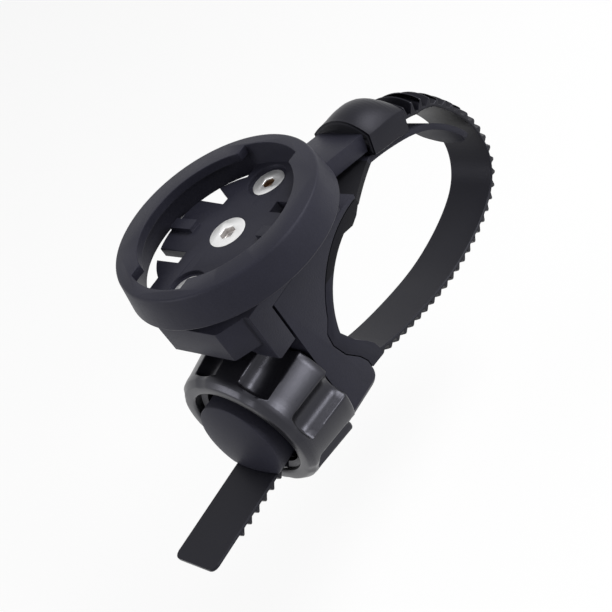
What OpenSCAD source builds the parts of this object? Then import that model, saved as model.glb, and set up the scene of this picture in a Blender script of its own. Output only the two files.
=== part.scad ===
// Camera and light mount for a bike: a quarter-turn head on an arm, tied to a bar by a toothed strap.
// Origin: the bar's axis at mid width. +Z goes up to the head, +Y along the bar, +X to the strap's tail.
// Units are millimetres.

/* [Quarter-turn head] */
// Outer radius of the head at its lower edge
rim_r = 18.9; // [18.5:0.1:21]
// Outer radius of the head at its upper edge
rim_top_r = 18.1; // [17.8:0.05:20]
// Height of the head's outer wall
rim_h = 5.9; // [5.4:0.1:8]
// Distance from the bar's axis forward to the head's axis
head_x = 14.8; // [14:0.1:16]
// Radius of the socket where the twist plate enters
entry_r = 15.8; // [15.2:0.1:16]
// Inner radius of the two holding lips
lip_r = 13.95; // [13.6:0.05:14.4]
// Thickness of the holding lips
lip_t = 1.6; // [1.2:0.1:2]
// Depth from the rim down to the socket's floor
floor_depth = 4.2; // [3.8:0.1:4.4]
// Radius of the floor plate inside the open windows
floor_r = 13.05; // [12.6:0.05:13.4]
// Long half of each entry notch
notch_long = 7.65; // [7:0.05:8.2]
// Short half of each entry notch
notch_short = 4.9; // [4.2:0.1:5.5]
// Width of the slots beside the spring tongues
slot_w = 2.3; // [1.8:0.1:2.6]
// Distance from the centre line out to where the slots begin
slot_in = 5.7; // [5.4:0.1:6.6]
// Width of each spring tongue on its narrow side
spring_a = 4.85; // [4.4:0.05:5.2]
// Width of each spring tongue on its wide side
spring_b = 5.8; // [5.4:0.05:6]
// Height of the click ribs on the spring tongues
rib_h = 0.9; // [0.5:0.1:1.2]

/* [Screws and threaded inserts] */
// Head radius of the centre screw
centre_head_r = 3.25; // [3:0.05:3.6]
// Shank radius of the centre screw
centre_shank_r = 1.9; // [1.7:0.05:2]
// Head radius of the side screws
side_head_r = 2.95; // [2.7:0.05:3.1]
// Shank radius of the side screws
side_shank_r = 1.5; // [1.3:0.05:1.6]
// Distance of the side screws from the head's axis
side_off = 11.65; // [11.2:0.05:12]
// How far the side heads lie below the socket's floor
side_sunk = 0.6; // [0.3:0.05:0.8]
// Wall of the brass inserts
brass_wall = 0.8; // [0.6:0.05:1]

/* [Base block] */
// Height of the hub and the two bosses that carry the head
hub_h = 2.9; // [2.6:0.1:4]
// Width of the rib between the hub and the bosses
rib_w = 6; // [4:0.5:8]
// Thickness of the plate between the housing and the arm
base_t = 2.5; // [2.2:0.1:4]
// How far the block hangs down in front of the arm
block_drop = 9.9; // [7:0.1:11]
// Thickness of the hanging block
block_t = 4.4; // [3.5:0.1:5.5]
// Width of the gap between the block and the arm
block_gap = 0.45; // [0.3:0.05:0.8]
// How far the front lug stands out of the block
lug_len = 4.1; // [3:0.1:6]
// Height of the front lug
lug_h = 6; // [4:0.1:7]
// Width of the front lug at its nose
lug_w = 13.8; // [11:0.2:16]

/* [Arm] */
// Width of the arm along the bar
arm_w = 22; // [21:0.5:24]
// Height of the arm's top above the bar's axis
arm_top = 18.7; // [18.7:0.1:20]
// Distance from the bar's axis to the arm's front face
arm_front = 22.2; // [22:0.1:24]
// Radius of the arm's lower end round the knob's axis
boss_r = 13; // [12.6:0.1:13.6]
// Width of the hook that holds the strap's head
hook_w = 9.8; // [9:0.1:10.4]
// Thickness of the hook outside the strap's head
hook_t = 3.2; // [3:0.1:3.6]
// Fall of the hook to the rear, in degrees
hook_tilt = 14.8; // [13:0.2:16]

/* [Bar seat and pad] */
// Radius of the bar that the seat is shaped for
seat_r = 15.9; // [15.5:0.05:16]
// Thickness of the rubber in the seat
pad_t = 1.9; // [1.6:0.1:2.1]
// Thickness of the rubber flap that guards the bar from the strap
flap_t = 1.1; // [0.9:0.05:1.2]
// Width of the rubber flap
flap_w = 10; // [9:0.2:11]

/* [Strap] */
// Width of the toothed strap
strap_w = 9.6; // [9:0.1:9.8]
// Thickness of the strap under its teeth
strap_t = 0.7; // [0.6:0.05:0.9]
// Height of the teeth in the middle of the strap
tooth_h = 1.75; // [1.3:0.05:1.8]
// Radius of the arched tips of the teeth
tooth_arc = 10; // [9:0.5:14]
// Distance from one tooth to the next
tooth_pitch = 2.25; // [2:0.05:2.6]
// How far the loop reaches behind the bar's axis
loop_reach = 38.6; // [37:0.1:46]
// How far the loop hangs below the bar's axis
loop_drop = 16.7; // [16.5:0.1:22]
// Position of the tail's end in front of the bar's axis
tail_x = 55.6; // [48:0.2:70]
// Length of the plain end behind the last tooth
tail_plain = 6; // [4:0.5:10]
// Width of the strap's head
cap_w = 12.6; // [12.2:0.1:13.5]
// Length of the strap's head along the strap
cap_len = 11.4; // [10.8:0.1:13]
// Height of the strap's head at its mouth
cap_t = 5.7; // [5.5:0.1:6.5]

/* [Tension knob and core] */
// Height of the knob's axis against the bar's axis
knob_z = -1.2; // [-1.5:0.1:-1]
// Radius over the lobes at the rear
knob_r = 14; // [13.6:0.1:15]
// Radius over the lobes at the front
knob_r_front = 12.8; // [12.6:0.1:13.6]
// Length of the knob
knob_len = 11.7; // [10.5:0.1:14]
// Number of grip lobes
lobes = 8; // [6:1:10]
// Depth of the grip valleys
valley = 1.9; // [1.2:0.1:2]
// Radius of the cutter that shapes the valleys
scoop = 3; // [2.6:0.1:3.6]
// Radius of the knob's bore, clear of the strap's teeth
knob_bore = 9.95; // [9.9:0.05:10.1]
// Radius of the core that the strap slides under
core_r = 8; // [7.8:0.05:8.2]
// Distance from the knob's axis down to the core's flat
core_flat = 6; // [5.8:0.05:6.1]
// Position of the core's nose in front of the bar's axis
core_nose = 37.4; // [36.5:0.1:42]
// Radius of the arm's spigot inside the knob
spigot_r = 10.8; // [10.7:0.05:11]
// Running clearance between the spigot and the knob
knob_play = 0.06; // [0.02:0.01:0.1]

/* [Hidden] */
$fn = 96;
e = 0.02;
slack = 0.12;
base_z = arm_top + base_t;
cup_z = base_z + hub_h;
rim_z = cup_z + rim_h;
floor_z = rim_z - floor_depth;
arm_half = arm_w / 2;
seam_r = seat_r + pad_t;
hook_m = [head_x - rim_r - 10, arm_top - 0.9];
hook_in = 6;
base_x0 = 2.2;
block_x = arm_front + block_gap;
core_x0 = arm_front - 3;
flat_z = knob_z - core_flat;
strap_play = 0.12;
strap_z = flat_z - strap_play;
strap_all = strap_t + tooth_h;
knob_x0 = arm_front + 0.4;
spigot_len = 3;
bead_x = arm_front + 1.7;

plastic = [0.20, 0.20, 0.23];
gloss = [0.11, 0.11, 0.13];
rubber = [0.14, 0.14, 0.16];
steel = [0.80, 0.81, 0.82];
brass = [0.72, 0.56, 0.28];

// A profile drawn in X and Z, given a width along Y.
module slab(w) rotate([90, 0, 0]) linear_extrude(w, center = true) children();

// A cylinder along X round the knob's axis, from a to b.
module axle(r, a, b) taper(r, r, a, b);

// A cone along X round the knob's axis, from a to b.
module taper(r1, r2, a, b) translate([a, 0, knob_z]) rotate([0, 90, 0]) cylinder(r1 = r1, r2 = r2, h = b - a);

// A cylinder along Z on the head's axis, from a to b.
module post(r, a, b) translate([head_x, 0, a]) cylinder(r = r, h = b - a);

// The children at both side screws.
module sides() for (s = [-1, 1]) translate([head_x + s * side_off, 0, 0]) children();

// The straight-sided bands where the lips are left out, so that a twist plate's ears can enter.
module notches(r, a, b) intersection() {
    post(r, a, b);
    for (t = [0, 180]) translate([head_x, 0, 0]) rotate([0, 0, t])
        translate([-e, -notch_long, a - 1]) cube([30, notch_short + notch_long, b - a + 2]);
}

// The two through slots beside a spring tongue, open to the window under the lip.
module slots() intersection() {
    translate([head_x, 0, cup_z - 1]) linear_extrude(floor_depth) {
        polygon([[spring_a, slot_in], [spring_a, 16], [spring_a + slot_w, 16], [spring_a + slot_w, slot_in]]);
        polygon([[-spring_b, slot_in], [-spring_b - 0.8, 16], [-spring_b - slot_w - 4.5, 16],
            [-spring_b - slot_w - 2, slot_in + 5.1], [-spring_b - 1.3, slot_in - 0.1]]);
    }
    post(entry_r - e, cup_z - 2, floor_z + 2);
}

module quarter_turn_head() color(plastic) difference() {
    union() {
        difference() {
            translate([head_x, 0, cup_z]) rotate_extrude() polygon([[0, 0], [rim_r - 0.2, 0], [rim_r, 0.3],
                [rim_top_r, rim_h - 0.5], [rim_top_r - 0.15, rim_h - 0.15], [rim_top_r - 0.5, rim_h], [0, rim_h]]);
            post(entry_r, cup_z - 1, rim_z - lip_t);
            post(lip_r, cup_z - 1, rim_z + 1);
            notches(entry_r, cup_z, rim_z + 1);
        }
        post(floor_r, cup_z, floor_z);
        notches(entry_r + 0.1, cup_z, floor_z);
        for (s = [-1, 1]) translate([head_x - 1.3, s * (floor_r - 3) - 2.5, floor_z - e]) cube([2.2, 5, rib_h]);
    }
    for (t = [0, 180]) translate([head_x, 0, 0]) rotate([0, 0, t]) translate([-head_x, 0, 0]) mirror([0, 1, 0]) slots();
    post(centre_shank_r + 0.2, cup_z - 1, rim_z);
    translate([head_x, 0, floor_z + centre_shank_r - centre_head_r])
        cylinder(r1 = centre_shank_r + 0.03, r2 = centre_head_r + 0.05, h = centre_head_r - centre_shank_r + e);
    sides() {
        translate([0, 0, cup_z - 1]) cylinder(r = side_shank_r + 0.3, h = 3);
        translate([0, 0, floor_z - side_sunk + side_shank_r - side_head_r])
            cylinder(r1 = side_shank_r + 0.03, r2 = side_head_r + 0.03, h = side_head_r - side_shank_r + e);
        translate([0, 0, floor_z - side_sunk]) cylinder(r = 3.5, h = 3);
    }
}

// A countersunk screw with a hexagon socket. Its head's top is at z = 0.
module flat_screw(head, shank, length, key) difference() {
    union() {
        translate([0, 0, shank - head]) cylinder(r1 = shank, r2 = head, h = head - shank);
        translate([0, 0, -length]) cylinder(r = shank, h = length - head + shank + e);
    }
    translate([0, 0, -1.2]) cylinder(r = key / sqrt(3), h = 2, $fn = 6);
}

module centre_screw() color(steel) translate([head_x, 0, floor_z])
    flat_screw(centre_head_r, centre_shank_r, floor_z - arm_top + 3.7, 2.5);

module side_screws() color(steel) sides() translate([0, 0, floor_z - side_sunk])
    flat_screw(side_head_r, side_shank_r, floor_z - side_sunk - base_z - 0.1, 2);

// Brass sleeve with a bore for the screw and two grooves that key it in the plastic.
module sleeve(bore, h) difference() {
    cylinder(r = bore + brass_wall, h = h);
    translate([0, 0, -1]) cylinder(r = bore + 0.02, h = h + 2);
    for (z = [0.3, 0.6]) translate([0, 0, z * h]) difference() {
        cylinder(r = bore + brass_wall + 1, h = 0.1 * h);
        translate([0, 0, -1]) cylinder(r = bore + brass_wall - 0.25, h = h);
    }
}

module side_inserts() color(brass) sides() translate([0, 0, base_z]) sleeve(side_shank_r, hub_h - 0.5);

module centre_insert() color(brass) translate([head_x, 0, arm_top - 4]) sleeve(centre_shank_r, 4);

// Side view of the base block: the plate under the head and the block in front of the arm.
base_side = [[base_x0, arm_top], [base_x0, base_z], [block_x + block_t, base_z],
    [block_x + block_t, base_z - block_drop + 0.5], [block_x + block_t - 0.5, base_z - block_drop],
    [block_x, base_z - block_drop], [block_x, arm_top]];

// Plan of the front lug, which narrows to its nose.
lug_plan = [[block_x + 1, 0.8 - arm_half], [block_x + block_t + 0.4, 1.2 - arm_half],
    [block_x + block_t + lug_len - 0.3, -lug_w / 2 - 0.4], [block_x + block_t + lug_len, -lug_w / 2],
    [block_x + block_t + lug_len, lug_w / 2], [block_x + block_t + lug_len - 0.3, lug_w / 2 + 0.4],
    [block_x + block_t + 0.4, arm_half - 1.2], [block_x + 1, arm_half - 0.8]];

module base_block() color(plastic) difference() {
    union() {
        slab(arm_w) polygon(base_side);
        translate([0, 0, base_z - lug_h]) linear_extrude(lug_h) polygon(lug_plan);
        post(5.5, base_z - 1, cup_z);
        translate([head_x - side_off, -rib_w / 2, base_z]) cube([2 * side_off, rib_w, hub_h]);
        sides() translate([0, 0, base_z]) cylinder(r = 3.4, h = hub_h);
    }
    post(centre_shank_r + 0.2, arm_top - 1, cup_z + 1);
    sides() translate([0, 0, base_z]) cylinder(r = side_shank_r + brass_wall, h = hub_h - 0.5);
    sides() translate([0, 0, base_z]) cylinder(r = side_shank_r + 0.5, h = hub_h + 1);
    axle(knob_r + 0.6, block_x - 1, block_x + block_t + 1);
}

// Rear outline of the arm where the rubber pad lies on it, from the top of the seat to the arm's heel.
seam = concat([for (a = [95 : -4 : 27]) seam_r * [cos(a), sin(a)]],
    [for (q = [[4.6, 6.2], [4.3, 3.8], [5.3, 0.4], [7.3, -2.5], [8.1, -4.5], [8.2, -6.3]]) [arm_front - q[0], q[1]]]);

// A point of the hook's frame: u runs into the strap's head and w to the top.
function hook(u, w) = hook_m + u * [-cos(hook_tilt), -sin(hook_tilt)] + w * [-sin(hook_tilt), cos(hook_tilt)];

// The part of the hook inside the strap's head, grown by g, with a barb on its underside.
module hook_end(g) slab(hook_w - 1 + 2 * g) polygon([hook(-0.5, 1.6 + g), hook(hook_in + g, 1.5 + g),
    hook(hook_in + g, -0.7 - g), hook(hook_in - 1.6, -0.7 - g), hook(hook_in - 2.2 - g, -0.3 - g),
    hook(-0.5, -0.3 - g)]);

// Side view of the arm, and of the hook outside the strap's head.
arm_side = concat([[1.6, arm_top], [arm_front, arm_top], [arm_front, knob_z - 20], [arm_front - 8.2, knob_z - 20]],
    [for (i = [len(seam) - 1 : -1 : 0]) seam[i]], [[-1.6, arm_top - 0.3]]);
hook_side = [[2, seam_r + 0.02], [2, arm_top + 1.5], [-0.6, arm_top + 2.1], hook(-9.8, hook_t / 2),
    hook(0, hook_t / 2), hook(0, -hook_t / 2), hook(-9.4, -hook_t / 2), [-2.6, seam_r + 0.06], [-1, seam_r + 0.02]];

module arm() color(plastic) difference() {
    union() {
        intersection() {
            slab(arm_w) polygon(arm_side);
            union() {
                translate([-20, -arm_half - 1, knob_z]) cube([60, arm_w + 2, 40]);
                axle(boss_r, 0, arm_front + 1);
            }
        }
        slab(hook_w) polygon(hook_side);
        hook_end(0);
        axle(spigot_r, arm_front - 1, arm_front + spigot_len);
        taper(spigot_r, spigot_r + 0.35, bead_x, bead_x + 0.35);
        taper(spigot_r + 0.35, spigot_r, bead_x + 0.35 - e, bead_x + 0.7);
    }
    post(centre_shank_r + brass_wall, arm_top - 4, arm_top + 2);
    post(centre_shank_r + 0.1, arm_top - 4.3, arm_top);
    d_shape(core_x0, arm_front + spigot_len + 1, 0.04);
    slab(strap_w + 0.4) polygon([[10, flat_z], [10, flat_z - 6.3], [arm_front - 4, strap_z - strap_all - 0.15],
        [arm_front + 10, strap_z - strap_all - 0.15], [arm_front + 10, flat_z]]);
}

// The core's section: round above, flat below.
module d_shape(a, b, g) intersection() {
    axle(core_r + g, a, b);
    translate([a - 1, -20, flat_z]) cube([b - a + 2, 40, 40]);
}

module thrust_core() color(plastic) intersection() {
    d_shape(core_x0, core_nose, 0);
    translate([core_nose - 30, 0, knob_z - 3]) sphere(r = 30, $fn = 128);
}

// Points of the flap's middle line: it leaves the pad's top lip, passes under the hook and ends inside the loop.
k_reach = (loop_reach - 15) / 23.6;
k_drop = (loop_drop + flat_z) / 9.5;
function reach(p) = [p[0] < -15 ? -15 + (p[0] + 15) * k_reach : p[0],
    p[1] < flat_z ? flat_z + (p[1] - flat_z) * k_drop : p[1]];
flap_way = [[4, 17.3], [-0.6, seam_r - 0.8], [-7.2, 16.1], [-13.6, 14.7], reach([-19.2, 12.9]),
    reach([-24.8, 10.5]), reach([-29.2, 7.6]), reach([-33.2, 3.4]), reach([-35.9, -1.0]), reach([-36.8, -3.4]),
    reach([-37.2, -6])];
flap_mid = curve(flap_way, 4);
flap_tip = flap_mid[len(flap_mid) - 1][1] + 3.2;

// A smooth line through the points of w, with n steps from one to the next.
function bend(a, b, c, d, t) = 0.5 * (2 * b + (c - a) * t + (2 * a - 5 * b + 4 * c - d) * t * t
    + (3 * b - a - 3 * c + d) * t * t * t);
function curve(w, n) = [for (i = [1 : len(w) - 3]) for (j = [0 : n - 1])
    bend(w[i - 1], w[i], w[i + 1], w[i + 2], j / n)];

// The point beside point i of a line p, h to its outer side.
function side(p, i, h) = let (d = p[min(i + 1, len(p) - 1)] - p[max(i - 1, 0)]) p[i] + h * [d[1], -d[0]] / norm(d);

// Side view of the pad: the seam with the arm, the curled lower lip, the seat and the top lip.
pad_side = concat(seam,
    [for (q = [[5.1, -6.7], [5.3, -5.2], [4.9, -3.5], [3.9, -1.8], [2.2, 0.5], [1.1, 2.9]]) [seat_r - q[0], q[1]]],
    [for (a = [15 : 4 : 75]) seat_r * [cos(a), sin(a)]],
    [[1.8, seat_r - 1.1], [0.1, seat_r - 0.5], [-1.4, seat_r + 0.6]]);

module bar_pad() color(rubber) {
    slab(arm_w) polygon(pad_side);
    intersection() {
        slab(arm_w) polygon(concat([for (i = [0 : len(flap_mid) - 1]) side(flap_mid, i, flap_t / 2)],
            [for (i = [len(flap_mid) - 1 : -1 : 0]) side(flap_mid, i, -flap_t / 2)]));
        linear_extrude(60, center = true) polygon([[10, arm_half], [-1.5, arm_half], [-13, flap_w / 2], [-80, flap_w / 2],
            [-80, -flap_w / 2], [-13, -flap_w / 2], [-1.5, -arm_half], [10, -arm_half]]);
        rotate([90, 0, 90]) linear_extrude(160, center = true) polygon(concat([[arm_half, 40], [-arm_half, 40],
            [-arm_half, 13], [-flap_w / 2, 11], [-flap_w / 2, flap_tip]],
            [for (a = [195 : 15 : 345]) [flap_w / 2 * cos(a), flap_tip + 3.3 * sin(a)]],
            [[flap_w / 2, flap_tip], [flap_w / 2, 11], [arm_half, 13]]));
    }
}

// The strap's smooth face, from the mouth of its head round the loop to the slot in the arm.
mouth = hook(0, -1.8);
way = [reach([-21.5, 14.9]) + 16 * [cos(hook_tilt), sin(hook_tilt)], mouth, reach([-21.5, 14.9]),
    reach([-29.3, 12.2]), reach([-35.0, 6.0]), reach([-38.3, -1.0]), reach([-38.5, -8.0]), reach([-35.1, -13.1]),
    reach([-28.0, -15.8]), reach([-18.0, -16.7]), reach([-7.7, -15.5]), reach([4.0, -12.6]),
    [arm_front - 8.5, strap_z - 1], [arm_front - 3, strap_z], [arm_front + 3, strap_z], [arm_front + 9, strap_z]];
trail = concat(curve(way, 12), [[arm_front + 3, strap_z], [tail_x + 5, strap_z]]);

// Running length along the trail, and the trail's points looked up by that length.
dist = [for (i = 0, s = 0; i < len(trail); s = s + (i + 1 < len(trail) ? norm(trail[i + 1] - trail[i]) : 0), i = i + 1) s];
table_x = [for (i = [0 : len(trail) - 1]) [dist[i], trail[i][0]]];
table_z = [for (i = [0 : len(trail) - 1]) [dist[i], trail[i][1]]];
path_end = dist[len(dist) - 1] - 5;
function at(s) = [lookup(s, table_x), lookup(s, table_z)];
function along(s) = let (d = at(s + 0.4) - at(s - 0.4)) d / norm(d);
function off(s, h) = at(s) + h * [along(s)[1], -along(s)[0]];

// A cross-section of the strap at s: half width w, flat inside, heights h over the nine outer points.
function ring(s, w, h) = [for (i = [-2 : 8]) let (p = off(s, i < 0 ? 0 : h[i])) [p[0], i == -2 ? -w : w * cos(max(i, 0) * 22.5), p[1]]];
function cap_ring(s) = ring(s, cap_w / 2,
    [for (i = [0 : 8]) (cap_t - 2.4 * pow(s / cap_len, 2)) * (0.45 + 0.55 * sin(i * 22.5))]);
function root_ring(s, w) = ring(s, w, [for (i = [0 : 8]) strap_t]);
function tip_ring(s) = ring(s, strap_w / 2, [for (i = [0 : 8]) let (y = strap_w / 2 * cos(i * 22.5))
    sqrt(tooth_arc * tooth_arc - y * y) - tooth_arc + strap_all]);

// Each tooth is four rings: root, tip, tip, root.
half = strap_w / 2;
teeth = floor((path_end - tail_plain - cap_len - 0.4) / tooth_pitch);
function tooth(k) = let (s = cap_len + 0.4 + k * tooth_pitch)
    [root_ring(s, half), tip_ring(s + 0.28 * tooth_pitch), tip_ring(s + 0.58 * tooth_pitch), root_ring(s + 0.8 * tooth_pitch, half)];
rings = concat([for (i = [0 : 10]) cap_ring(2 * slack + (cap_len - 2 * slack) * i / 10)], [root_ring(cap_len + e, half)],
    [for (k = [0 : teeth - 1]) each tooth(k)],
    [root_ring(path_end - 1, half), root_ring(path_end - 0.3, half - 0.3), root_ring(path_end, half - 1)]);

// Joins the rings to one closed body.
module strap_body() {
    n = 11;
    m = len(rings) - 1;
    polyhedron(points = [for (r = rings) each r], faces = concat([[for (j = [n - 1 : -1 : 0]) j]],
        [for (i = [0 : m - 1]) for (j = [0 : n - 1])
            each [[i * n + j, (i + 1) * n + (j + 1) % n, (i + 1) * n + j],
                [i * n + j, i * n + (j + 1) % n, (i + 1) * n + (j + 1) % n]]],
        [[for (j = [0 : n - 1]) m * n + j]]));
}

module strap() color(rubber) difference() {
    strap_body();
    hook_end(slack);
    slab(hook_w + 0.2) polygon([hook(-0.5, 2.2), hook(2.2, 2.1), hook(2.2, -1), hook(-0.5, -1)]);
}

module tension_knob() color(gloss) difference() {
    union() {
        taper(knob_r - 0.4, knob_r, knob_x0, knob_x0 + 0.4 + e);
        taper(knob_r, knob_r_front, knob_x0 + 0.4, knob_x0 + knob_len - 0.9);
        taper(knob_r_front, knob_r_front - 1.2, knob_x0 + knob_len - 0.9 - e, knob_x0 + knob_len);
    }
    for (k = [0 : lobes - 1]) translate([knob_x0, 0, knob_z]) rotate([10 + k * 360 / lobes, 0, 0])
        translate([0, knob_r - valley + scoop, 0]) rotate([0, 90, -atan((knob_r - knob_r_front) / knob_len)])
            translate([0, 0, -3]) cylinder(r = scoop, h = knob_len + 6, $fn = 48);
    axle(knob_bore, knob_x0 - 1, knob_x0 + knob_len + 1);
    axle(spigot_r + knob_play, knob_x0 - 1, arm_front + spigot_len + 0.1);
    axle(spigot_r + 0.35 + knob_play, bead_x - 0.1, bead_x + 0.8);
    taper(knob_bore, knob_bore + 0.6, knob_x0 + knob_len - 0.6, knob_x0 + knob_len + e);
}

quarter_turn_head();
centre_screw();
side_screws();
side_inserts();
centre_insert();
base_block();
arm();
bar_pad();
strap();
tension_knob();
thrust_core();
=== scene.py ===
"""Looks of the bike camera and light mount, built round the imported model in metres."""

import math

import bmesh
import bpy
from mathutils import Matrix, Vector


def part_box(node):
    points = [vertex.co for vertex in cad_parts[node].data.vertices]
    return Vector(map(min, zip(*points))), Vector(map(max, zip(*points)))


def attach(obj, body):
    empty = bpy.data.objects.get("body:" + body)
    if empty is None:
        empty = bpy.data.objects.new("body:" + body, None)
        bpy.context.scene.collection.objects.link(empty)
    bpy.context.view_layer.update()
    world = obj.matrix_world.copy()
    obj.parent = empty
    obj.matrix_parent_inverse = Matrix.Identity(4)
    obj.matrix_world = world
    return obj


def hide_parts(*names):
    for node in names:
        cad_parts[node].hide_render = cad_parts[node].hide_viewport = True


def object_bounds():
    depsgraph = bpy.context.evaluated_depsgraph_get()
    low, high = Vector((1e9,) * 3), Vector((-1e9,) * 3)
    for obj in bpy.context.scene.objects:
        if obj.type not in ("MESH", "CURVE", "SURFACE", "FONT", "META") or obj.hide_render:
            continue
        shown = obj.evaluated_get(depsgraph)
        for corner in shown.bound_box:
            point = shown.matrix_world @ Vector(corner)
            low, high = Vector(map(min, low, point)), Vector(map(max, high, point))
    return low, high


bl_info = {
    "name": "Bike camera and light mount",
    "version": (1, 0, 0),
    "blender": (4, 5, 0),
    "location": "View3D > Sidebar > Bike mount",
    "description": "Builds the mount's pieces, their finishes and a plain studio",
    "category": "Object",
}

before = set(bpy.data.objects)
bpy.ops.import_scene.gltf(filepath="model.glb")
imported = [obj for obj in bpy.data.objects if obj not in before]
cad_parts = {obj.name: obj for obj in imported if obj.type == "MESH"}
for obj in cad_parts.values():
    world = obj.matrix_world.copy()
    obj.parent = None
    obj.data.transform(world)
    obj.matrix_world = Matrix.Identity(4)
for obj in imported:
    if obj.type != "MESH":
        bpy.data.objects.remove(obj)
CAD_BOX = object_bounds()
MM = 0.001

# Finishes: the tint of reflections on plastic and rubber, the depth of the grain in millimetres,
# and the spots of mottling and of rubbing along a metre
BLUISH = (0.86, 0.86, 1, 1)
GRAIN_DEPTH = 0.05
MOTTLE_SCALE = 160
RUB_SCALE = 45

# Copies of CAD meshes: points this near are merged, in millimetres, and faces this flat are joined,
# in degrees
MERGE_WITHIN = 0.002
FLAT_WITHIN = 0.5

# Radii of rounded edges, in millimetres
CORE_ROUND = 1.2
HEEL_ROUND = 1.8
SCREW_ROUND = 0.12
PAD_ROUND = 0.18

# The arm's heel, in millimetres: its edge lies this far or more behind the arm's front, and this near
# to its arc
HEEL_BEHIND = 8
HEEL_WITHIN = 0.1

# How far below a screw's top the colour of its socket starts, in millimetres
SOCKET_FROM = 0.25

# The pad, in millimetres: the gap at its seam with the arm, the height from which that seam follows
# the seat's arc, the height above which its rubber is painted near black as the shade under the hook and
# the strap's head, and the place behind which that painted shade stops and the rubber is grey again
SEAM_GAP = 0.22
SEAM_ROUND_FROM = 7
PAD_SHADE_PAINTED_FROM = 12.5
PAINTED_SHADE_STOPS_BEHIND = -12

# The strap's smooth face seen from the side, in millimetres: X and Z from the hook round the loop. The
# last point only steers the curve, and from the one before it the strap runs straight to TAIL_END.
STRAP_WAY = [
    (-6.0, 19.1), (-13.6, 16.1), (-21.5, 14.9), (-29.3, 12.2), (-35.0, 6.0), (-38.3, -1.0), (-38.5, -8.0),
    (-35.1, -13.1), (-28.0, -15.8), (-18.0, -16.7), (-7.7, -15.5), (4.0, -12.6), (13.7, -8.32),
    (19.2, -7.32), (25.2, -7.32), (31.2, -7.32),
]
TAIL_END = 55.6

# Steps of the line between two of its points, and how far ahead and behind its run is measured
LINE_STEPS = 12
RUN_REACH = 0.4

# Height of the strap's underside, as pairs of the length run and the height in millimetres: skirts
# under the head, then deep roots that shrink to nothing
UNDERSIDE = ((0, -0.6), (8, -2.0), (9.9, -2.3), (11.3, -0.8), (15, -1.1), (20, 0), (400, 0))

# The strap's section: the chamfer of its corners in millimetres, and the steps over its crown
SECTION_EDGE = 0.18
CROWN_STEPS = 16

# The strap's head, in millimetres: where it starts, how its crown rises and falls over its length,
# the height of its sides and their fall, the power of its crown and its chamfer
HEAD_START = 0.25
HEAD_STEPS = 14
HEAD_RISE = 1.9
HEAD_FALL = 3.6
HEAD_SIDE = 3.2
HEAD_SIDE_FALL = 1.2
HEAD_POWER = 2.1
HEAD_EDGE = 0.03

# The end of the head: how far past its length, how much narrower at each side, side and crown height
HEAD_SHOULDER = ((0.2, 0.15, 1.9, 3.7), (0.36, 0.6, 1.5, 2.9), (0.5, 1.2, 1.0, 1.7), (0.6, 1.5, 0.7, 0.75))

# The mouth that takes the hook: its tilt, and in millimetres its wall, its drop and its depth
HOOK_TILT = math.radians(14.8)
MOUTH_WALL = 0.95
MOUTH_DROP = 0.25
MOUTH_DEPTH = 6.3

# One tooth, as pairs of a share of the pitch and a share of its height, and the gap before the first
TOOTH_RINGS = (
    (0.0, 0.0), (0.16, 0.0), (0.34, 0.55), (0.45, 0.95), (0.52, 1.0), (0.59, 0.94), (0.68, 0.45), (0.76, 0.0),
)
TEETH_AFTER_HEAD = 0.7

# The tail's rounded end, in millimetres: how far before the end, and how much narrower at each side
TAIL_ROUND = ((5.0, 0.0), (1.2, 0.0), (0.7, 0.12), (0.3, 0.4), (0.08, 0.75), (0.0, 1.1))

# The knob's outline: points round it, its lobes, and the turn of its first valley in degrees
KNOB_POINTS = 320
KNOB_LOBES = 8
KNOB_PHASE = 10

# The knob's outer edges, in millimetres: the distance from the rear or the front face, and what is
# taken off the radius there
KNOB_EDGE_REAR = ((0.0, 0.9), (0.08, 0.5), (0.3, 0.14), (0.6, 0.0))
KNOB_EDGE_FRONT = (
    (1.15, 0.0), (0.95, 0.04), (0.8, 0.13), (0.45, 0.48), (0.2, 0.72), (0.07, 0.87), (0.0, 1.15),
)

# The flank between them: its rings, its start, how much shorter than the knob it is, and its share of
# the taper
FLANK_RINGS = 8
FLANK_FROM = 0.6
FLANK_SHORTER = 3.4
FLANK_TAPER = 0.85

# Where the valleys end: the distance behind the front face and the share of their depth, and the share
# of the taper for each millimetre there
VALLEY_END = ((2.5, 0.97), (2.25, 0.88), (2.05, 0.7), (1.9, 0.45), (1.75, 0.2), (1.6, 0.05))
VALLEY_TAPER = 0.055

# The bore behind the front face and the spigot's seat before the rear face: distance and radius
KNOB_BORE = ((0.0, 10.5), (0.03, 10.3), (0.12, 10.12), (0.3, 10.0), (0.6, 9.95), (4.4, 9.95), (8.0, 9.95))
KNOB_SEAT = ((2.9, 9.95), (2.7, 10.2), (2.7, 10.8), (1.0, 10.86), (0.0, 10.86))

# The thread: its start and root radius in millimetres, half its width at the root and at the crest as
# shares of its pitch, its turns, and the steps of one turn
THREAD_FROM = 3.7
THREAD_ROOT = 9.97
THREAD_FOOT = 0.3
THREAD_TIP = 0.08
THREAD_TURNS = 3
THREAD_STEPS = 60

# The studio: each lamp's place and width in metres, under the name of its power, then half the floor's
# width, its grey and roughness, and its brightness where it is seen
LAMPS = {
    "key": ((-0.23, 0.17, 0.31), 0.22),
    "right": ((-0.09, 0.36, 0.175), 0.11),
    "front": ((0.37, -0.13, 0.2), 0.22),
}
FLOOR_HALF = 1.5
FLOOR_GREY = 0.9
FLOOR_ROUGHNESS = 0.9
FLOOR_GLOW = 0.86


# Sizes and colours that a user would change


def length(label, text, millimetres):
    """A length property with a name and a description."""
    return bpy.props.FloatProperty(name=label, description=text, default=millimetres * MM, unit="LENGTH")


def colour(label, text, value):
    """A colour property with a name and a description."""
    return bpy.props.FloatVectorProperty(
        name=label, description=text, subtype="COLOR", size=4, min=0, max=1, default=(*value, 1)
    )


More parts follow.
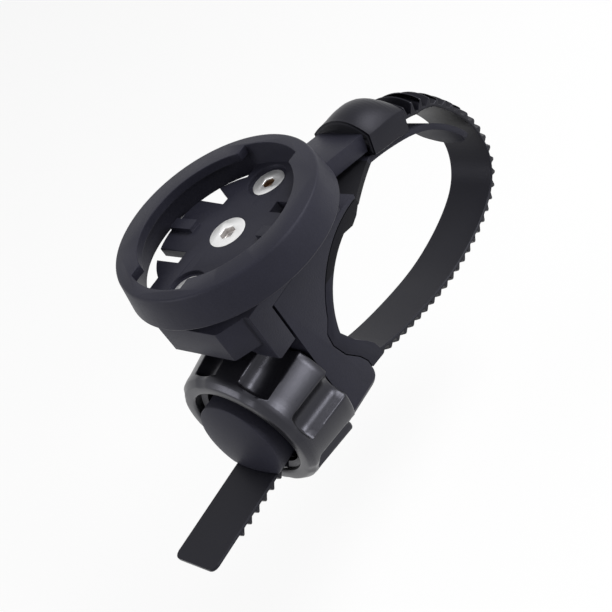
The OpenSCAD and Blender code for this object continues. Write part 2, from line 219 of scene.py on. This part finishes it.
def power(label, text, watts):
    """A lamp's power with a name and a description."""
    return bpy.props.FloatProperty(name=label, description=text, default=watts, unit="POWER")


class BikeMountSizes(bpy.types.PropertyGroup):
    """Sizes of the edges, the knob, the strap and the knob's thread"""

    edge: length("Edge radius", "Radius of the moulded edges", 0.32)
    knob_edge: length("Knob edge", "Width of the blend from lobe to valley", 0.6)
    knob_radius: length("Knob radius, rear", "Radius over the lobes at the rear", 14)
    knob_radius_front: length("Knob radius, front", "Radius over the lobes at the front", 12.8)
    knob_valley: length("Knob valleys", "Depth of the valleys between the lobes", 1.9)
    knob_scoop: length("Valley radius", "Radius of the valleys' section", 3)
    strap_width: length("Strap width", "Width of the toothed strap", 9.6)
    strap_web: length("Strap web", "Thickness under the teeth", 0.6)
    tooth_height: length("Tooth height", "Height of the teeth above the web", 1.95)
    tooth_arc: length("Tooth arc", "Radius of the arched tips of the teeth", 10.5)
    tooth_pitch: length("Tooth pitch", "Distance from tooth to tooth", 2.25)
    tail_plain: length("Plain tail", "Length without teeth at the free end", 6)
    cap_width: length("Strap head width", "Width of the strap's head", 12.6)
    cap_length: length("Strap head length", "Length of the strap's head", 9.8)
    cap_height: length("Strap head height", "Height of the strap's head at its mouth", 5.7)
    thread_crest: length("Thread crest", "Inner radius of the knob's thread", 9.05)
    thread_pitch: length("Thread pitch", "Rise of the knob's thread in one turn", 2.25)


class BikeMountColours(bpy.types.PropertyGroup):
    """Colours of the finishes, and of the painted shade on the pad and in the centre screw's socket"""

    moulding: colour("Moulding", "Matte charcoal plastic", (0.0155, 0.0155, 0.0235))
    knob: colour("Knob", "Glossy black plastic", (0.005, 0.005, 0.0065))
    pad: colour("Pad", "Soft rubber", (0.0135, 0.0135, 0.02))
    # The flap colour is painted shade: the pad's rubber darkened where the hook and the strap's head shade it
    flap: colour("Flap", "Black rubber of the pad's flap", (0.004, 0.004, 0.005))
    strap: colour("Strap", "Satin rubber", (0.006, 0.006, 0.009))
    steel: colour("Screws", "Zinc-plated steel", (0.8, 0.8, 0.8))
    socket: colour("Clean socket", "Shaded steel in the centre screw's socket", (0.45, 0.43, 0.42))
    stain: colour("Socket stain", "Oil and thread lock in the screw sockets", (0.16, 0.1, 0.06))
    brass: colour("Inserts", "Turned brass", (0.7, 0.5, 0.25))


class BikeMountStudio(bpy.types.PropertyGroup):
    """Camera, lamps and floor"""

    camera_at: bpy.props.FloatVectorProperty(
        name="Camera place", description="Where the camera stands", size=3, subtype="TRANSLATION",
        default=(0.09684, 0.13903, 0.12358),
    )
    camera_turn: bpy.props.FloatVectorProperty(
        name="Camera turn", description="Axis times angle, from the part's frame to the camera's", size=3,
        default=(-1.5344536, -2.3140794, 1.4071559),
    )
    lens: bpy.props.FloatProperty(name="Lens", description="Focal length in millimetres", default=70.97)
    floor_gap: length("Floor gap", "How far the floor lies under the held part", 30)
    key: power("Key lamp", "Power of the large lamp above", 1.3)
    right: power("Right lamp", "Power of the small lamp at the camera's right", 0.6)
    front: power("Front lamp", "Power of the lamp before the knob", 0.7)
    world: bpy.props.FloatProperty(
        name="World", description="Strength of the light from all round", default=0.3
    )


GROUPS = {
    "bike_mount_sizes": BikeMountSizes,
    "bike_mount_colours": BikeMountColours,
    "bike_mount_studio": BikeMountStudio,
}


# Shader groups and finishes


def new_group(name, inputs, outputs):
    """A shader node group with float or colour sockets, and its input and output nodes."""
    tree = bpy.data.node_groups.new(name, "ShaderNodeTree")
    for socket, kind, value in inputs:
        item = tree.interface.new_socket(name=socket, in_out="INPUT", socket_type="NodeSocket" + kind)
        item.default_value = value
    for socket, kind in outputs:
        tree.interface.new_socket(name=socket, in_out="OUTPUT", socket_type="NodeSocket" + kind)
    return tree, tree.nodes.new("NodeGroupInput"), tree.nodes.new("NodeGroupOutput")


def feed(tree, value, socket):
    """Gives socket its value: another socket, a number or a colour."""
    if isinstance(value, bpy.types.NodeSocket):
        tree.links.new(value, socket)
    else:
        socket.default_value = value


def math_node(tree, operation, *values):
    """A Math node of the values, each a socket or a number."""
    node = tree.nodes.new("ShaderNodeMath")
    node.operation = operation
    for socket, value in zip(node.inputs, values):
        feed(tree, value, socket)
    return node.outputs[0]


def swing(tree, pattern, amount, level):
    """Level plus the pattern's swing round its middle, times amount."""
    return math_node(tree, "MULTIPLY_ADD", math_node(tree, "SUBTRACT", pattern, 0.5), amount, level)


def colour_mix(tree, blend, share, first, second):
    """A colour Mix node, whose sockets for colours are inputs 6 and 7 and output 2."""
    node = tree.nodes.new("ShaderNodeMix")
    node.data_type = "RGBA"
    node.blend_type = blend
    for place, value in ((0, share), (6, first), (7, second)):
        feed(tree, value, node.inputs[place])
    return node.outputs[2]


def noise(tree, place, scale, detail):
    """A Noise Texture on place, with scale a socket or a number."""
    node = tree.nodes.new("ShaderNodeTexNoise")
    node.inputs["Detail"].default_value = detail
    tree.links.new(place, node.inputs["Vector"])
    feed(tree, scale, node.inputs["Scale"])
    return node.outputs["Fac"]


def skin_group():
    """Grain, mottling and handling marks of a moulded surface."""
    tree, given, result = new_group(
        "moulded_skin",
        [("Color", "Color", (0, 0, 0, 1)), ("Grain Scale", "Float", 4000.0), ("Mottle", "Float", 0.2),
         ("Roughness", "Float", 0.5), ("Rub", "Float", 0.1)],
        [("Color", "Color"), ("Roughness", "Float"), ("Height", "Float")],
    )
    place = tree.nodes.new("ShaderNodeTexCoord").outputs["Object"]
    grain = noise(tree, place, given.outputs["Grain Scale"], detail=3)
    broad = noise(tree, place, MOTTLE_SCALE, detail=4)
    patch = noise(tree, place, RUB_SCALE, detail=2)
    bright = swing(tree, broad, given.outputs["Mottle"], 1)
    bright = swing(tree, grain, given.outputs["Mottle"], bright)
    grey = tree.nodes.new("ShaderNodeCombineColor")
    for socket in grey.inputs:
        tree.links.new(bright, socket)
    tint = colour_mix(tree, "MULTIPLY", 1, given.outputs["Color"], grey.outputs[0])
    tree.links.new(tint, result.inputs["Color"])
    rough = swing(tree, patch, given.outputs["Rub"], given.outputs["Roughness"])
    rough = swing(tree, grain, given.outputs["Rub"], rough)
    tree.links.new(rough, result.inputs["Roughness"])
    tree.links.new(grain, result.inputs["Height"])
    return tree


def finish_material(name, colour_value, grain, mottle, roughness, rub, bump, **shader):
    """A Principled material whose colour, roughness and bump come from the moulded skin."""
    material = bpy.data.materials.new(name)
    material.use_nodes = True
    tree = material.node_tree
    principled = tree.nodes["Principled BSDF"]
    for socket, value in shader.items():
        principled.inputs[socket.replace("_", " ")].default_value = value
    skin = tree.nodes.new("ShaderNodeGroup")
    skin.node_tree = bpy.data.node_groups.get("moulded_skin") or skin_group()
    for socket, value in (
        ("Color", colour_value), ("Grain Scale", grain), ("Mottle", mottle), ("Roughness", roughness),
        ("Rub", rub),
    ):
        skin.inputs[socket].default_value = value
    tree.links.new(skin.outputs["Color"], principled.inputs["Base Color"])
    tree.links.new(skin.outputs["Roughness"], principled.inputs["Roughness"])
    relief = tree.nodes.new("ShaderNodeBump")
    relief.inputs["Strength"].default_value = bump
    relief.inputs["Distance"].default_value = GRAIN_DEPTH * MM
    tree.links.new(skin.outputs["Height"], relief.inputs["Height"])
    tree.links.new(relief.outputs["Normal"], principled.inputs["Normal"])
    return material


def recolour_beyond(material, level, colour_value, side="LESS_THAN", axis="Z"):
    """Gives the surface another colour where it lies below or above level along axis."""
    tree = material.node_tree
    principled = tree.nodes["Principled BSDF"]
    plain = principled.inputs["Base Color"].links[0].from_socket
    parts = tree.nodes.new("ShaderNodeSeparateXYZ")
    tree.links.new(tree.nodes.new("ShaderNodeTexCoord").outputs["Object"], parts.inputs[0])
    beyond = math_node(tree, side, parts.outputs[axis], level)
    mixed = colour_mix(tree, "MIX", beyond, plain, colour_value)
    tree.links.new(mixed, principled.inputs["Base Color"])


def seen_rays(tree):
    """One for rays from the camera, in reflections and through glass, and nought for all others."""
    rays = tree.nodes.new("ShaderNodeLightPath")
    seen = math_node(tree, "MAXIMUM", rays.outputs["Is Camera Ray"], rays.outputs["Is Glossy Ray"])
    return math_node(tree, "MAXIMUM", seen, rays.outputs["Is Transmission Ray"])


# Helpers for meshes and objects


def add_object(name, data):
    """A new object of data in the scene."""
    thing = bpy.data.objects.new(name, data)
    bpy.context.scene.collection.objects.link(thing)
    return thing


def mesh_from(bm, name):
    """A mesh of what bm holds, which is then freed."""
    mesh = bpy.data.meshes.new(name)
    bm.to_mesh(mesh)
    bm.free()
    return mesh


def finish_piece(bm, name, material, body, replaced=(), smooth=40):
    """Makes the mesh an object on body, with smooth shading below the angle smooth."""
    mesh = mesh_from(bm, name)
    piece = add_object(name, mesh)
    mesh.materials.append(material)
    for face in mesh.polygons:
        face.use_smooth = True
    mesh.set_sharp_from_angle(angle=math.radians(smooth))
    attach(piece, body)
    if replaced:
        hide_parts(*replaced)
    return piece


def node_copy(node):
    """A CAD node's mesh with its doubles merged and its flat faces joined."""
    bm = bmesh.new()
    bm.from_mesh(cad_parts[node].data)
    bmesh.ops.remove_doubles(bm, verts=bm.verts, dist=MERGE_WITHIN * MM)
    bmesh.ops.dissolve_limit(bm, angle_limit=math.radians(FLAT_WITHIN), verts=bm.verts, edges=bm.edges)
    return bm


def round_edges(bm, edges, radius, segments):
    """Gives the edges a round bevel."""
    bmesh.ops.bevel(
        bm, geom=edges, offset=radius, offset_type="OFFSET", segments=segments, profile=0.5,
        affect="EDGES", clamp_overlap=True, material=-1,
    )


def soften(bm, radius, corner=25, segments=2):
    """Rounds every edge that turns by more than corner degrees."""
    turn = math.radians(corner)
    sharp = [e for e in bm.edges if len(e.link_faces) == 2 and e.calc_face_angle() > turn]
    round_edges(bm, sharp, radius, segments)


def drawn_face(bm, face):
    """The face that extruding face gives. The face itself stays where it was."""
    drawn = bmesh.ops.extrude_face_region(bm, geom=[face])["geom"]
    return next(g for g in drawn if isinstance(g, bmesh.types.BMFace))


def knob_axis():
    """Height of the axis that the knob turns on."""
    low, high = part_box("tension_knob")
    return (low.z + high.z) / 2


# The strap's line and sections, in millimetres


class StrapLine:
    """The smooth face of the strap in X and Z, looked up by the length run along it."""

    def __init__(self, way, end_x):
        points = []
        for a, b, c, d in zip(way, way[1:], way[2:], way[3:]):
            points += [self.bend(a, b, c, d, step / LINE_STEPS) for step in range(LINE_STEPS)]
        points += [way[-2], (end_x, way[-2][1])]
        self.points = [Vector(p) for p in points]
        self.lengths = [0.0]
        for p, q in zip(self.points, self.points[1:]):
            self.lengths.append(self.lengths[-1] + (q - p).length)
        self.end = self.lengths[-1]

    @staticmethod
    def bend(a, b, c, d, t):
        """The point at the share t from b to c, on the smooth curve that a and d steer."""
        point = []
        for p, q, r, w in zip(a, b, c, d):
            slope = r - p
            square = 2 * p - 5 * q + 4 * r - w
            cube = 3 * q - p - 3 * r + w
            point.append(0.5 * (2 * q + slope * t + square * t * t + cube * t ** 3))
        return tuple(point)

    def at(self, s):
        """The point at the length s."""
        s = min(max(s, 0.0), self.end)
        i = next(k for k in range(len(self.lengths) - 1) if s <= self.lengths[k + 1] + 1e-9)
        span = self.lengths[i + 1] - self.lengths[i]
        return self.points[i].lerp(self.points[i + 1], (s - self.lengths[i]) / span)

    def place(self, s, section):
        """The section's points (y, height) set across the line at s, in metres."""
        here = self.at(s)
        run = (self.at(s + RUN_REACH) - self.at(s - RUN_REACH)).normalized()
        out = Vector((run.y, -run.x))
        return [Vector((here.x + h * out.x, y, here.y + h * out.y)) * MM for y, h in section]


def underside(s):
    """Height of the strap's underside at the length s."""
    for (a, low), (b, high) in zip(UNDERSIDE, UNDERSIDE[1:]):
        if s <= b:
            return low + (high - low) * (s - a) / (b - a)
    return 0


def strap_section(half, base, side, crown, power=2.0, edge=SECTION_EDGE):
    """Points (y, height) of a section: flat inside, straight sides and a crowned outer face."""
    corner = SECTION_EDGE
    points = [(-half, base + corner), (corner - half, base), (half - corner, base), (half, base + corner)]
    points.append((half, side - edge))
    for k in range(CROWN_STEPS + 1):
        y = (half - edge) * math.cos(math.pi * k / CROWN_STEPS)
        points.append((y, side + (crown - side) * (1 - abs(y / half) ** power)))
    return points + [(-half, side - edge)]


def loft(stations):
    """A body drawn out from the first station's outline, with a face across it at every station."""
    bm = bmesh.new()
    outline = [bm.verts.new(p) for p in stations[0]]
    end = bm.faces.new(outline)
    for station in stations[1:]:
        end = drawn_face(bm, end)
        for vert, place in zip(end.verts, station):
            vert.co = place
    bmesh.ops.recalc_face_normals(bm, faces=bm.faces)
    return bm


# The pieces


class MOUNT_OT_mouldings(bpy.types.Operator):
    """Builds the head, the base block, the arm and the core, with soft edges"""

    bl_idname = "bike_mount.mouldings"
    bl_label = "Mouldings"

    def execute(self, context):
        sizes = context.scene.bike_mount_sizes
        colours = context.scene.bike_mount_colours
        material = finish_material(
            "charcoal_moulding", colours.moulding, grain=3600, mottle=0.45, roughness=0.5, rub=0.2,
            bump=0.55, Specular_IOR_Level=0.18, Specular_Tint=BLUISH,
        )
        for node in ("quarter_turn_head", "base_block", "arm", "thrust_core"):
            bm = node_copy(node)
            if node == "arm":
                self.heel(bm)
            if node == "thrust_core":
                soften(bm, CORE_ROUND * MM, corner=30, segments=5)
            else:
                soften(bm, sizes.edge)
            finish_piece(bm, node + "_soft", material, "mount", (node,), smooth=28)
        return {"FINISHED"}

    def heel(self, bm):
        """Rounds the arm's round lower edge at the back."""
        low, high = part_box("arm")
        axis = knob_axis()
        reach = axis - low.z

        def on_heel(vert):
            off = math.hypot(vert.co.y, vert.co.z - axis) - reach
            return vert.co.x < high.x - HEEL_BEHIND * MM and abs(off) < HEEL_WITHIN * MM

        edges = []
        for edge in bm.edges:
            a, b = edge.verts
            if on_heel(a) and on_heel(b) and abs(a.co.x - b.co.x) < 2 * HEEL_WITHIN * MM:
                edges.append(edge)
        round_edges(bm, edges, HEEL_ROUND * MM, segments=5)


class MOUNT_OT_screws(bpy.types.Operator):
    """Gives the screws and inserts their metal finishes, with painted shade in the centre socket"""

    bl_idname = "bike_mount.screws"
    bl_label = "Screws and inserts"

    def execute(self, context):
        colours = context.scene.bike_mount_colours
        # The centre screw's socket gets painted shade, darker steel for the shade in its recess; the side
        # screws' sockets get a real stain of oil and thread lock
        for node, socket_stain_and_shade in (("centre_screw", colours.socket), ("side_screws", colours.stain)):
            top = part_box(node)[1].z
            steel = finish_material(
                node + "_zinc", colours.steel, grain=2600, mottle=0.12, roughness=0.38, rub=0.2,
                bump=0.12, Metallic=0.8,
            )
            recolour_beyond(steel, top - SOCKET_FROM * MM, socket_stain_and_shade)
            bm = node_copy(node)
            soften(bm, SCREW_ROUND * MM)
            finish_piece(bm, node + "_plated", steel, "mount", (node,))
        brass = finish_material(
            "turned_brass", colours.brass, grain=2600, mottle=0.12, roughness=0.3, rub=0.2, bump=0.12,
            Metallic=1.0,
        )
        for node in ("side_inserts", "centre_insert"):
            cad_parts[node].data.materials.clear()
            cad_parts[node].data.materials.append(brass)
        return {"FINISHED"}


class MOUNT_OT_pad(bpy.types.Operator):
    """Builds the rubber pad with its lip and flap, with painted shade on its upper part"""

    bl_idname = "bike_mount.pad"
    bl_label = "Bar pad"

    def execute(self, context):
        colours = context.scene.bike_mount_colours
        material = finish_material(
            "pad_rubber", colours.pad, grain=3600, mottle=0.4, roughness=0.6, rub=0.12, bump=0.3,
            Specular_IOR_Level=0.15, Specular_Tint=BLUISH,
        )
        # Painted shade: the pad is darkened above a height, as the shade under the hook and the strap's head,
        # and keeps its own grey behind a place along X
        recolour_beyond(material, PAD_SHADE_PAINTED_FROM * MM, colours.flap, "GREATER_THAN")
        recolour_beyond(material, PAINTED_SHADE_STOPS_BEHIND * MM, colours.pad, "LESS_THAN", "X")
        bm = node_copy("bar_pad")
        self.open_seam(bm)
        soften(bm, PAD_ROUND * MM)
        finish_piece(bm, "bar_pad_soft", material, "mount", ("bar_pad",), smooth=30)
        return {"FINISHED"}

    def open_seam(self, bm):
        """Moves the points that the pad shares with the arm back from it, by the seam's gap."""
        seam = {self.seen_from_side(v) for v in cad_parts["arm"].data.vertices}
        for vert in bm.verts:
            if self.seen_from_side(vert) in seam:
                inward = Vector((-1, 0, 0))
                if vert.co.z > SEAM_ROUND_FROM * MM:
                    inward = Vector((-vert.co.x, 0, -vert.co.z))
                vert.co += inward.normalized() * SEAM_GAP * MM

    @staticmethod
    def seen_from_side(vert):
        """X and Z of a point, to a hundredth of a millimetre."""
        return round(vert.co.x, 5), round(vert.co.z, 5)


class MOUNT_OT_strap(bpy.types.Operator):
    """Builds the rubber strap with its head, its teeth and its tail"""

    bl_idname = "bike_mount.strap"
    bl_label = "Strap"

    def execute(self, context):
        sizes = context.scene.bike_mount_sizes
        colours = context.scene.bike_mount_colours
        material = finish_material(
            "strap_rubber", colours.strap, grain=3600, mottle=0.35, roughness=0.38, rub=0.18, bump=0.2,
            Specular_IOR_Level=0.2, Specular_Tint=BLUISH,
        )
        line = StrapLine(STRAP_WAY, TAIL_END)
        bm = loft(self.head(sizes, line) + self.teeth(sizes, line) + self.tail(sizes, line))
        self.mouth(bm)
        finish_piece(bm, "strap_soft", material, "mount", ("strap",), smooth=38)
        return {"FINISHED"}

    def head(self, sizes, line):
        """The domed head, whose skirts reach down to the pad's flap."""
        half = sizes.cap_width / MM / 2
        length = sizes.cap_length / MM
        rows = []
        for k in range(HEAD_STEPS + 1):
            s = HEAD_START + (length - HEAD_START) * k / HEAD_STEPS
            share = s / length
            crown = sizes.cap_height / MM + HEAD_RISE * share - HEAD_FALL * share ** 3
            rows.append((s, 0, HEAD_SIDE - HEAD_SIDE_FALL * share, crown))
        rows += [(length + ahead, narrow, side, crown) for ahead, narrow, side, crown in HEAD_SHOULDER]
        stations = []
        for s, narrow, side, crown in rows:
            section = strap_section(half - narrow, underside(s), side, crown, HEAD_POWER, HEAD_EDGE)
            stations.append(line.place(s, section))
        return stations

    def teeth(self, sizes, line):
        """Arched teeth on the outer face, from the head to the plain tail."""
        half = sizes.strap_width / MM / 2
        web = sizes.strap_web / MM
        top = web + sizes.tooth_height / MM
        arc = sizes.tooth_arc / MM
        edge = top - (arc - math.sqrt(arc ** 2 - half ** 2))
        pitch = sizes.tooth_pitch / MM
        first = sizes.cap_length / MM + TEETH_AFTER_HEAD
        count = int((line.end - sizes.tail_plain / MM - first) / pitch)
        stations = []
        for tooth in range(count):
            for phase, rise in TOOTH_RINGS:
                s = first + (tooth + phase) * pitch
                low = underside(s)
                floor = low + web
                side = floor + (edge - floor) * rise
                crown = floor + (top - floor) * rise
                stations.append(line.place(s, strap_section(half, low, side, crown)))
        return stations

    def tail(self, sizes, line):
        """The plain end with its rounded corners."""
        half = sizes.strap_width / MM / 2
        web = sizes.strap_web / MM
        stations = []
        for back, narrow in TAIL_ROUND:
            stations.append(line.place(line.end - back, strap_section(half - narrow, 0, web, web)))
        return stations

    def mouth(self, bm):
        """The arched pocket in the head that takes the hook, behind the face that the hook pierces."""
        # A face across the strap has more corners than the four of a side face
        across = [f for f in bm.faces if len(f.verts) > 4]
        front = max(across, key=lambda f: f.calc_center_median().z)
        bmesh.ops.inset_individual(bm, faces=[front], thickness=MOUTH_WALL * MM, use_even_offset=True)
        bmesh.ops.translate(bm, verts=front.verts, vec=(0, 0, -MOUTH_DROP * MM))
        inward = Vector((-math.cos(HOOK_TILT), 0, -math.sin(HOOK_TILT)))
        floor = drawn_face(bm, front)
        bmesh.ops.translate(bm, verts=floor.verts, vec=inward * MOUTH_DEPTH * MM)
        bmesh.ops.recalc_face_normals(bm, faces=bm.faces)


class MOUNT_OT_knob(bpy.types.Operator):
    """Builds the lobed knob and the thread in its bore"""

    bl_idname = "bike_mount.knob"
    bl_label = "Tension knob"

    def execute(self, context):
        sizes = context.scene.bike_mount_sizes
        colours = context.scene.bike_mount_colours
        material = finish_material(
            "knob_gloss", colours.knob, grain=3000, mottle=0.15, roughness=0.3, rub=0.14, bump=0.05,
            Specular_Tint=BLUISH,
        )
        low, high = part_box("tension_knob")
        self.rear = low.x / MM
        self.length = (high.x - low.x) / MM
        self.axis = knob_axis()
        bm = self.shell(self.outside(sizes) + self.inside())
        finish_piece(
            bm, "tension_knob_soft", material, "knob", ("tension_knob",), smooth=50
        )
        finish_piece(self.thread(sizes), "knob_thread", material, "knob")
        return {"FINISHED"}

    def outside(self, sizes):
        """Rings of the lobed outside, from the rear face to the rounded front edge."""
        rear = sizes.knob_radius / MM
        front = sizes.knob_radius_front / MM
        rings = []
        for x, cut in KNOB_EDGE_REAR:
            rings.append((self.rear + x, self.lobed(sizes, rear, cut)))
        for k in range(1, FLANK_RINGS + 1):
            share = k / FLANK_RINGS
            x = self.rear + FLANK_FROM + (self.length - FLANK_SHORTER) * share
            rings.append((x, self.lobed(sizes, rear + (front - rear) * share * FLANK_TAPER, 0)))
        for back, depth in VALLEY_END:
            radius = front + (rear - front) * back * VALLEY_TAPER
            rings.append((self.rear + self.length - back, self.lobed(sizes, radius, 0, depth)))
        for back, cut in KNOB_EDGE_FRONT:
            rings.append((self.rear + self.length - back, self.lobed(sizes, front, cut, 0)))
        return rings

    def inside(self):
        """Rings of the front face's rounded lip, the bore and the seat of the spigot."""
        rings = []
        for back, radius in KNOB_BORE:
            rings.append((self.rear + self.length - back, [radius] * KNOB_POINTS))
        for x, radius in KNOB_SEAT:
            rings.append((self.rear + x, [radius] * KNOB_POINTS))
        return rings

    def lobed(self, sizes, radius, cut, depth=1):
        """Radii of the outline at one place, blended softly, with the share depth of its valleys."""
        scoop = sizes.knob_scoop / MM
        blend = sizes.knob_edge / MM
        centre = radius - sizes.knob_valley / MM * depth + scoop
        step = 360 / KNOB_LOBES
        radii = []
        for k in range(KNOB_POINTS):
            turn = math.degrees(2 * math.pi * k / KNOB_POINTS) - KNOB_PHASE
            off = math.radians((turn + step / 2) % step - step / 2)
            reach = scoop ** 2 - (centre * math.sin(off)) ** 2
            if reach > 0:
                valley = centre * math.cos(off) - math.sqrt(reach)
            else:
                valley = radius + 2 * math.sqrt(-reach)
            near = max(blend - abs(valley - radius), 0)
            radii.append(min(valley, radius) - near ** 2 / (4 * blend) - cut)
        return radii

    def shell(self, rings):
        """A closed shell drawn out from the first ring through all the others, and back to it."""
        bm = bmesh.new()
        ring = bmesh.ops.create_circle(bm, segments=KNOB_POINTS, radius=1 * MM)["verts"]
        self.move(ring, *rings[0])
        first = list(bm.edges)
        edges = first
        for x, radii in rings[1:]:
            ring, edges = self.drawn_ring(bm, ring, edges)
            self.move(ring, x, radii)
        bmesh.ops.bridge_loops(bm, edges=first + edges)
        bmesh.ops.recalc_face_normals(bm, faces=bm.faces)
        return bm

    def drawn_ring(self, bm, ring, edges):
        """The points and edges that extruding edges gives, with the points in the order of ring."""
        drawn = bmesh.ops.extrude_edge_only(bm, edges=edges)["geom"]
        new = {g for g in drawn if isinstance(g, bmesh.types.BMVert)}
        points = [next(e.other_vert(v) for e in v.link_edges if e.other_vert(v) in new) for v in ring]
        drawn_edges = [g for g in drawn if isinstance(g, bmesh.types.BMEdge)]
        return points, [e for e in drawn_edges if all(v in new for v in e.verts)]

    def move(self, ring, x, radii):
        """Sets a ring's points at x, at their radii round the knob's axis."""
        for k, (vert, radius) in enumerate(zip(ring, radii)):
            turn = 2 * math.pi * k / KNOB_POINTS
            across = radius * MM * math.cos(turn)
            up = radius * MM * math.sin(turn)
            vert.co = (x * MM, across, self.axis + up)

    def thread(self, sizes):
        """The thread in the bore that drives the strap's teeth."""
        pitch = sizes.thread_pitch
        crest = sizes.thread_crest
        root = THREAD_ROOT * MM
        start = (self.rear + THREAD_FROM) * MM
        bm = bmesh.new()
        section = [
            bm.verts.new((start + along * pitch, radius, self.axis))
            for along, radius in (
                (-THREAD_FOOT, root), (-THREAD_TIP, crest), (THREAD_TIP, crest), (THREAD_FOOT, root),
            )
        ]
        bmesh.ops.spin(
            bm, geom=[bm.faces.new(section)], cent=(0, 0, self.axis), axis=(1, 0, 0),
            dvec=(pitch / THREAD_STEPS, 0, 0), angle=2 * math.pi * THREAD_TURNS,
            steps=THREAD_STEPS * THREAD_TURNS,
        )
        bmesh.ops.recalc_face_normals(bm, faces=bm.faces)
        return bm


# The studio


def floor_material():
    """White to the camera and in reflections, pale grey to the light, and clear from below."""
    material = bpy.data.materials.new("white_floor")
    material.use_nodes = True
    tree = material.node_tree
    principled = tree.nodes["Principled BSDF"]
    principled.inputs["Base Color"].default_value = (FLOOR_GREY, FLOOR_GREY, FLOOR_GREY, 1)
    principled.inputs["Roughness"].default_value = FLOOR_ROUGHNESS
    glow = tree.nodes.new("ShaderNodeEmission").outputs[0]
    clear = tree.nodes.new("ShaderNodeBsdfTransparent").outputs[0]
    below = tree.nodes.new("ShaderNodeNewGeometry").outputs["Backfacing"]
    share = math_node(tree, "MULTIPLY", seen_rays(tree), FLOOR_GLOW)
    surface = principled.outputs[0]
    for amount, shader in ((share, glow), (below, clear)):
        mix = tree.nodes.new("ShaderNodeMixShader")
        for socket, source in zip(mix.inputs, (amount, surface, shader)):
            tree.links.new(source, socket)
        surface = mix.outputs[0]
    tree.links.new(surface, tree.nodes["Material Output"].inputs["Surface"])
    return material


class MOUNT_OT_studio(bpy.types.Operator):
    """Sets the camera, the lamps, the world and the floor"""

    bl_idname = "bike_mount.studio"
    bl_label = "Studio"

    def execute(self, context):
        studio = context.scene.bike_mount_studio
        self.camera(context, studio)
        self.lamps(studio)
        self.world(context, studio)
        self.floor(studio)
        context.scene.view_settings.view_transform = "Standard"
        return {"FINISHED"}

    def camera(self, context, studio):
        """The camera, turned as the photo was taken."""
        data = bpy.data.cameras.new("camera")
        data.lens = studio.lens
        data.clip_start = 0.01
        turn = Vector(studio.camera_turn)
        to_camera = Matrix.Rotation(turn.length, 3, turn.normalized())
        aim = (to_camera.transposed() @ Matrix.Diagonal((1, -1, -1))).to_4x4()
        camera = add_object("camera", data)
        camera.matrix_world = Matrix.Translation(studio.camera_at) @ aim
        context.scene.camera = camera

    def lamps(self, studio):
        """Square lamps that look at the origin."""
        for name, (place, width) in LAMPS.items():
            data = bpy.data.lights.new(name + "_lamp", "AREA")
            data.shape = "SQUARE"
            data.size = width
            data.energy = getattr(studio, name)
            lamp = add_object(name + "_lamp", data)
            lamp.location = place
            lamp.rotation_euler = (-Vector(place)).to_track_quat("-Z", "Y").to_euler()

    def world(self, context, studio):
        """A world that looks white and lights the object less than it looks."""
        world = bpy.data.worlds.new("world")
        world.use_nodes = True
        tree = world.node_tree
        lit = tree.nodes["Background"]
        lit.inputs["Color"].default_value = (1, 1, 1, 1)
        strength = math_node(tree, "MULTIPLY_ADD", seen_rays(tree), 1 - studio.world, studio.world)
        tree.links.new(strength, lit.inputs["Strength"])
        context.scene.world = world

    def floor(self, studio):
        """A level floor under the part."""
        bm = bmesh.new()
        bmesh.ops.create_grid(bm, x_segments=1, y_segments=1, size=FLOOR_HALF)
        level = CAD_BOX[0][2] - studio.floor_gap
        bmesh.ops.translate(bm, verts=bm.verts, vec=(0, 0, level))
        floor = add_object("floor", mesh_from(bm, "floor"))
        floor.data.materials.append(floor_material())


class MOUNT_PT_panel(bpy.types.Panel):
    """Lists the steps that build the mount"""

    bl_label = "Bike mount"
    bl_idname = "MOUNT_PT_panel"
    bl_space_type = "VIEW_3D"
    bl_region_type = "UI"
    bl_category = "Bike mount"

    def draw(self, context):
        for step in STEPS:
            self.layout.operator(step.bl_idname)
        for name, group in GROUPS.items():
            box = self.layout.box()
            for prop in group.__annotations__:
                box.prop(getattr(context.scene, name), prop)


STEPS = (MOUNT_OT_mouldings, MOUNT_OT_screws, MOUNT_OT_pad, MOUNT_OT_strap, MOUNT_OT_knob, MOUNT_OT_studio)


def register():
    """Registers the property groups, the operators and the panel."""
    for cls in (*GROUPS.values(), *STEPS, MOUNT_PT_panel):
        bpy.utils.register_class(cls)
    for name, group in GROUPS.items():
        setattr(bpy.types.Scene, name, bpy.props.PointerProperty(type=group))


def unregister():
    """Removes what register added."""
    for name in GROUPS:
        delattr(bpy.types.Scene, name)
    for cls in reversed((*GROUPS.values(), *STEPS, MOUNT_PT_panel)):
        bpy.utils.unregister_class(cls)


def main():
    """Builds every piece and the studio."""
    register()
    for step in STEPS:
        group, name = step.bl_idname.split(".")
        getattr(getattr(bpy.ops, group), name)()


if __name__ == "__main__":
    main()
